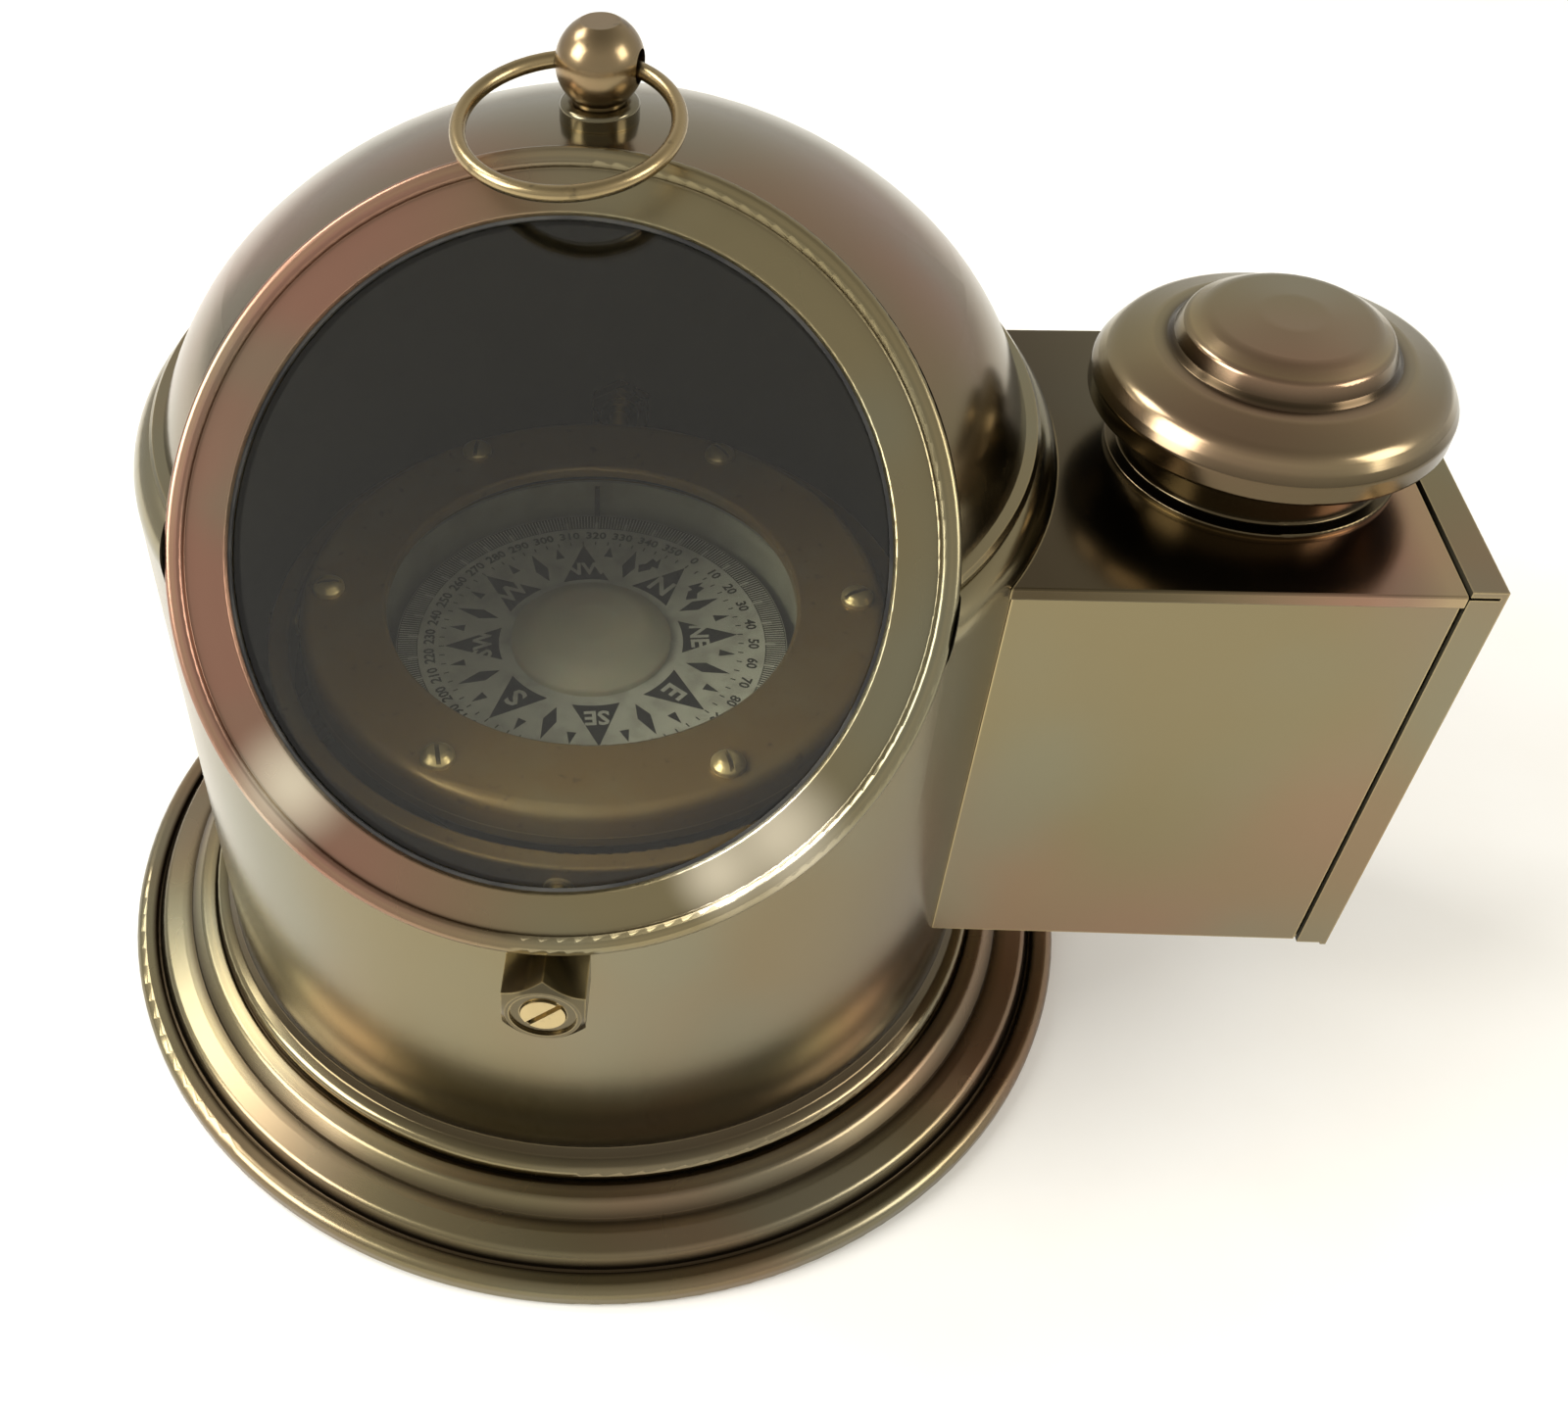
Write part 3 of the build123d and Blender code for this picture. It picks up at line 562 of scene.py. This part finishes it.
class BINNACLE_OT_base(bpy.types.Operator):
    """Finish the base flange, its plate and its screws."""

    bl_idname = "binnacle.base"
    bl_label = "Base"

    def execute(self, context):
        metals = context.scene.binnacle_metals

        # painted highlights and shade in bands round the flange
        flange = bronze("Base bronze", metals, rose=0.6, light_bands=FLANGE_LIGHT_BANDS, edge=0, dusk=0.12, dull=0.08)
        coat(flange, "base_flange")
        coat(brass("Base plate brass", metals.olive, metals, rough=0.4), "base_plate")
        screw = brass("Base screw brass", metals.gold, metals, rough=0.3)
        coat(screw, "base_plate_screws", "drum_foot_screws")
        coat(brass("Foot ring brass", metals.bowl, metals, rough=0.4), "drum_foot_ring")
        return {"FINISHED"}


class BINNACLE_OT_drum(bpy.types.Operator):
    """Finish the drum and the gimbal bosses in its wall."""

    bl_idname = "binnacle.drum"
    bl_label = "Drum"

    def execute(self, context):
        metals = context.scene.binnacle_metals

        # painted shade inside the drum; bands darker towards its foot
        drum = bronze("Drum bronze", metals, rose=0.25, light_bands=DRUM_BANDS, shaded_inside=DRUM_MIDDLE, edge=0)
        coat(drum, "drum_shell")
        coat(bronze("Boss bronze", metals, rose=0.1, edge=0.6, dusk=0.55), "pivot_bosses")
        coat(brass("Pivot screw brass", metals.gold, metals, rough=0.35, crevice_reach=0.8), "pivot_screws")
        coat(brass("Lock nut brass", metals.bowl, metals), "pivot_lock_nuts")
        coat(bronze("Port bronze", metals), "light_port_frame")
        coat(glass("Port glass", (0.95, 0.93, 0.82, 1)), "light_port_glass")
        return {"FINISHED"}


class BINNACLE_OT_lamp_box(bpy.types.Operator):
    """Finish the lamp box and its chimney."""

    bl_idname = "binnacle.lamp_box"
    bl_label = "Lamp box and chimney"

    def execute(self, context):
        metals = context.scene.binnacle_metals
        # painted shade inside the lamp box
        sheet = bronze("Lamp box bronze", metals, rose=0.5, shaded_inside=BOX_MIDDLE, edge=0.8)
        coat(sheet, "lamp_box_shell")
        # painted reflection on the top, brighter towards its outer end
        top = bronze("Lamp box top bronze", metals, rose=0.9, light_bands=BOX_TOP_REFLECTION, edge=0.6,
                     blush=("X", 0.085, 0.125))
        coat(top, "lamp_box_top")
        # painted shade inside the end cover
        coat(bronze("End cover bronze", metals, rose=0.35, shaded_inside=BOX_MIDDLE, edge=0.6), "lamp_end_cover")
        # painted highlights and shade in bands round the cap
        cap = bronze("Cap bronze", metals, rose=0.8, light_bands=CAP_LIGHT_BANDS, axis_place=CHIMNEY_AXIS, edge=0)
        coat(cap, "chimney_cap")
        chimney = bronze("Chimney bronze", metals, rose=0.3, axis_place=CHIMNEY_AXIS, dusk=0.82)
        coat(chimney, "chimney_neck", "chimney_stays")
        return {"FINISHED"}


class BINNACLE_OT_hood(bpy.types.Operator):
    """Finish the dome, the window frame, the knob and the pull ring."""

    bl_idname = "binnacle.hood"
    bl_label = "Hood"

    def execute(self, context):
        metals = context.scene.binnacle_metals

        # painted highlight and shade bands on the dome, painted shade inside it
        dome = bronze("Dome bronze", metals, rose=0.7, light_bands=DOME_LIGHT_BANDS, shaded_inside=DOME_MIDDLE, edge=0, dusk=0.15)
        coat(dome, "hood_dome")
        coat(bronze("Hood ring bronze", metals, rose=0.3), "hood_base_ring")
        axis = (WINDOW_CENTRE, (WINDOW_TILT, 0, WINDOW_TURN))
        # painted highlight and shade bands and painted highlight spots on the window frame
        frame_metal = bronze("Window frame bronze", metals, rose=1.0, light_bands=FRAME_LIGHT_BANDS, axis_place=axis,
                             edge=0, blush=("X", 0.01, -0.035), highlight_spots=WINDOW_HIGHLIGHT_SPOTS, dull=0.09)
        coat(frame_metal, "window_frame")
        retainer = brass("Retainer brass", metals.bowl, metals, rough=0.35)
        coat(retainer, "window_retainer", "window_retainer_screws")
        coat(bronze("Collar bronze", metals, rose=0.2, edge=0.5, dusk=0.4), "finial_collar")
        coat(brass("Knob brass", KNOB_BROWN, metals, rough=0.24, edge=0.3), "finial_knob")
        coat(brass("Ring brass", RING_BROWN, metals, rough=0.24), "pull_ring")
        coat(steel("Nut steel", (0.5, 0.48, 0.44, 1), 0.3), "finial_nut")
        coat(glass("Window glass", (0.80, 0.80, 0.73, 1)), "window_glass")
        coat(paint("Window gasket rubber", RUBBER, (0.05, 0.048, 0.042, 1), 0.6), "window_gasket")
        return {"FINISHED"}


class BINNACLE_OT_bowl(bpy.types.Operator):
    """Finish the gimbal ring, the bowl and its fittings."""

    bl_idname = "binnacle.bowl"
    bl_label = "Gimbal and bowl"

    def execute(self, context):
        metals = context.scene.binnacle_metals
        gimbal = brass("Gimbal brass", metals.bowl, metals, rough=0.35, metallic=0.6)
        coat(gimbal, "gimbal_ring", "bowl_shell", "bowl_weight")
        coat(brass("Bezel brass", metals.bowl, metals, rough=0.36, edge=0.8, metallic=0.45), "bowl_bezel")
        bright = brass("Bright brass", metals.gold, metals, rough=0.3, crevice_reach=1.8, metallic=0.7)
        coat(bright, "gimbal_bushes", "bowl_bezel_screws", "bowl_weight_screw", "bowl_filler_plug")
        coat(brass("Pivot brass", metals.olive, metals), "bowl_pivot_bosses", "bowl_pivot_pins")
        coat(paint("Bowl gasket rubber", RUBBER, (0.03, 0.03, 0.028, 1), 0.6), "bowl_gasket")
        coat(glass("Bowl glass", (0.97, 0.98, 0.95, 1)), "bowl_glass")
        coat(paint("Bowl enamel", (0.46, 0.45, 0.40, 1), (0.36, 0.35, 0.31, 1), 0.35), "bowl_liner")
        coat(paint("Line enamel", (0.012, 0.012, 0.012, 1), (0.03, 0.03, 0.03, 1), 0.4), "lubber_line")
        coat(steel("Post steel", (0.6, 0.58, 0.55, 1), 0.2), "card_pivot_post", "card_jewel", "card_magnets")
        return {"FINISHED"}


class BINNACLE_OT_card(bpy.types.Operator):
    """Print the compass card."""

    bl_idname = "binnacle.card"
    bl_label = "Compass card"

    def execute(self, context):
        card = context.scene.binnacle_card
        paper = paint("Card white", card.paper, (0.50, 0.49, 0.46, 1), 0.5, grain=700, depth=0.01)
        ink = paint("Card ink", card.ink, (0.03, 0.03, 0.032, 1), 0.45, grain=700, depth=0.01)
        grey = paint("Card grey", (0.075, 0.074, 0.07, 1), (0.06, 0.059, 0.055, 1), 0.5, grain=700,
                     depth=0.01)
        coat(paper, "compass_card")
        coat(pearl("Float pearl", card.pearl), "card_float")
        low, high = CARD_TOP - 0.01 * MM, CARD_TOP + INK_HEIGHT
        middle = (0, 0, CARD_TOP + INK_HEIGHT / 2)
        reach = (card.rim_in + card.rim_out) / 2
        fine = (card.rim_out - card.rim_in, 0.22 * MM, INK_HEIGHT)
        made = [
            bars("card_degree_lines", card.degrees, reach, fine, middle, paper),
            bars("card_ten_lines", 36, 34.2 * MM, (1.9 * MM, 0.5 * MM, INK_HEIGHT * 1.2), middle, paper),
            bars("card_figure_lines", 72, 28.6 * MM, (1.0 * MM, 0.24 * MM, INK_HEIGHT), middle, ink),
            printed_ring(33.2 * MM, 37.2 * MM, low, CARD_TOP + 0.01 * MM, "card_degree_ground", grey),
            prisms("card_points", self.points(card), low, high, ink),
        ]
        letters = [(text, (6.0 if len(text) == 1 else 4.9) * MM, 20.6 * MM, NORTH - math.radians(45 * at))
                   for at, text in enumerate(("N", "NE", "E", "SE", "S", "SW", "W", "NW"))]
        made.append(lettering("card_letters", letters, high - 0.01 * MM, high + INK_HEIGHT, paper))
        figures = [(str(tens * 10), 2.8 * MM, card.figures, NORTH - math.radians(10 * tens))
                   for tens in range(36)]
        made.append(lettering("card_figures", figures, low, high, ink))
        for piece in made:
            finish_piece(piece, "card")
        return {"FINISHED"}

    def points(self, card):
        """Eight broad points, eight darts between them and sixteen small marks."""
        outlines = []
        for eighth in range(8):
            way = NORTH + eighth * math.tau / 8
            wide = math.radians(14.6)
            base = [polar(card.point_base, way - wide + wide * 2 * step / 6) for step in range(7)]
            outlines.append(base + [polar(card.point_tip, way)])
            dart = way + math.tau / 16
            outlines.append([polar(19.0 * MM, dart), polar(22.6 * MM, dart - 0.058), polar(27.6 * MM, dart),
                             polar(22.6 * MM, dart + 0.058)])
            for side in (-1, 1):
                mark = way + side * math.tau / 32
                outlines.append([polar(24.6 * MM, mark - 0.036), polar(27.6 * MM, mark),
                                 polar(24.6 * MM, mark + 0.036)])
        for side in (-1, 1):
            curl = [(21.8, 0.285), (23.6, 0.21), (26.4, 0.215), (26.8, 0.25), (24.8, 0.27), (23.9, 0.32)]
            outlines.append([polar(radius * MM, NORTH + side * turn) for radius, turn in curl])
        return outlines


class BINNACLE_OT_lamp(bpy.types.Operator):
    """Finish the oil lamp and knurl its knob."""

    bl_idname = "binnacle.lamp"
    bl_label = "Oil lamp"

    def execute(self, context):
        metals = context.scene.binnacle_metals
        coat(brass("Lamp brass", metals.olive, metals, rough=0.28), "lamp_tank", "lamp_tray", "lamp_burner")
        bright = brass("Lamp bright brass", metals.gold, metals, rough=0.22)
        coat(bright, "lamp_filler_cap", "lamp_wick_tube", "wick_spindle", "wick_knob", "lamp_reflector_stay")
        coat(steel("Reflector silver", (0.86, 0.85, 0.82, 1), 0.06), "lamp_reflector")
        coat(cotton("Wick cotton"), "lamp_wick")
        low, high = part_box("wick_knob")
        centre = (low + high) / 2
        radius = (high.z - low.z) / 2
        ridge = (0.5 * MM, 0.42 * MM, 1.9 * MM)
        knurl = bars("wick_knob_knurl", 40, radius - 0.12 * MM, ridge, centre, bright,
                     tilt=(math.pi / 2, 0, 0))
        finish_piece(knurl, "wick_turner")
        return {"FINISHED"}


class BINNACLE_OT_stage(bpy.types.Operator):
    """Lay the floor and set the lights and the camera."""

    bl_idname = "binnacle.stage"
    bl_label = "Stage"

    def execute(self, context):
        stage = context.scene.binnacle_stage
        scene = context.scene
        half = FLOOR_HALF
        mesh = bpy.data.meshes.new("floor")
        mesh.from_pydata([(-half, -half, 0), (half, -half, 0), (half, half, 0), (-half, half, 0)], [],
                         [(0, 1, 2, 3)])
        pale = (stage.floor[0] * 0.985, stage.floor[1] * 0.98, stage.floor[2] * 0.97, 1)
        floor = new_object("floor", mesh, paint("Floor card", stage.floor, pale, 0.7, grain=60, depth=0.01))

        self.lamp("Key", (-1.25, -0.45, 0.95), 0.8, stage.key, (1.0, 0.985, 0.95))
        self.lamp("Back", (-0.85, 0.40, 1.15), 0.45, stage.key * 0.3, (1.0, 0.99, 0.97))
        self.lamp("Fill", (1.05, -0.35, 0.75), 0.5, stage.fill, (1.0, 0.96, 0.90))

        world = bpy.data.worlds.new("Studio")
        world.use_nodes = True
        tree = world.node_tree
        way = tree.nodes.new("ShaderNodeTexCoord").outputs["Generated"]
        height = tree.nodes.new("ShaderNodeSeparateXYZ")
        tree.links.new(way, height.inputs[0])
        ramp = tree.nodes.new("ShaderNodeValToRGB")
        tree.links.new(height.outputs["Z"], ramp.inputs["Fac"])
        ramp.color_ramp.elements[0].color = (1.0, 0.985, 0.95, 1)
        ramp.color_ramp.elements[1].color = (0.50, 0.475, 0.43, 1)
        middle = ramp.color_ramp.elements.new(0.6)
        middle.color = (1.02, 0.985, 0.92, 1)
        light = tree.nodes["Background"]
        tree.links.new(ramp.outputs["Color"], light.inputs["Color"])
        light.inputs["Strength"].default_value = stage.sky
        scene.world = world
        scene.view_settings.view_transform = "Standard"
        self.camera(scene)
        return {"FINISHED"}

    def lamp(self, name, place, size, power, tint):
        light = bpy.data.lights.new(name, "AREA")
        light.shape = "SQUARE"
        light.size = size
        light.energy = power
        light.color = tint
        holder = bpy.data.objects.new(name, light)
        holder.location = place
        aim = Vector((0.02, 0, 0.08)) - Vector(place)
        holder.rotation_euler = aim.to_track_quat("-Z", "Y").to_euler()
        bpy.context.scene.collection.objects.link(holder)

    def camera(self, scene):
        yaw, pitch, roll = CAMERA_YAW, CAMERA_PITCH, CAMERA_ROLL
        ahead = Vector((math.sin(yaw) * math.cos(pitch), math.cos(yaw) * math.cos(pitch), -math.sin(pitch)))
        right = Vector((math.cos(yaw), -math.sin(yaw), 0))
        up = right.cross(ahead)
        across = math.cos(roll) * right + math.sin(roll) * up
        above = -math.sin(roll) * right + math.cos(roll) * up
        data = bpy.data.cameras.new("Camera")
        data.sensor_width = SENSOR
        data.lens = LENS
        data.shift_x, data.shift_y = SHIFT
        data.clip_start = 0.01
        camera = bpy.data.objects.new("Camera", data)
        turn = Matrix((across, above, -ahead)).transposed().to_4x4()
        camera.matrix_world = Matrix.Translation(CAMERA_PLACE) @ turn
        scene.collection.objects.link(camera)
        scene.camera = camera


class BINNACLE_PT_panel(bpy.types.Panel):
    """The compass's operators and settings."""

    bl_label = "Binnacle compass"
    bl_idname = "BINNACLE_PT_panel"
    bl_space_type = "VIEW_3D"
    bl_region_type = "UI"
    bl_category = "Binnacle"

    def draw(self, context):
        for name in OPERATORS:
            self.layout.operator(name.bl_idname)
        for settings in ("binnacle_metals", "binnacle_card", "binnacle_stage"):
            group = getattr(context.scene, settings)
            for key in group.__annotations__:
                self.layout.prop(group, key)


OPERATORS = (
    BINNACLE_OT_base, BINNACLE_OT_drum, BINNACLE_OT_lamp_box, BINNACLE_OT_hood, BINNACLE_OT_bowl,
    BINNACLE_OT_card, BINNACLE_OT_lamp, BINNACLE_OT_stage)
SETTINGS = (BinnacleMetals, BinnacleCard, BinnacleStage)


def register():
    for item in SETTINGS + OPERATORS + (BINNACLE_PT_panel,):
        bpy.utils.register_class(item)
    bpy.types.Scene.binnacle_metals = PointerProperty(type=BinnacleMetals)
    bpy.types.Scene.binnacle_card = PointerProperty(type=BinnacleCard)
    bpy.types.Scene.binnacle_stage = PointerProperty(type=BinnacleStage)


def unregister():
    del bpy.types.Scene.binnacle_metals
    del bpy.types.Scene.binnacle_card
    del bpy.types.Scene.binnacle_stage
    for item in reversed(SETTINGS + OPERATORS + (BINNACLE_PT_panel,)):
        bpy.utils.unregister_class(item)


def main():
    register()
    for operator in OPERATORS:
        family, name = operator.bl_idname.split(".")
        getattr(getattr(bpy.ops, family), name)()


if __name__ == "__main__":
    main()
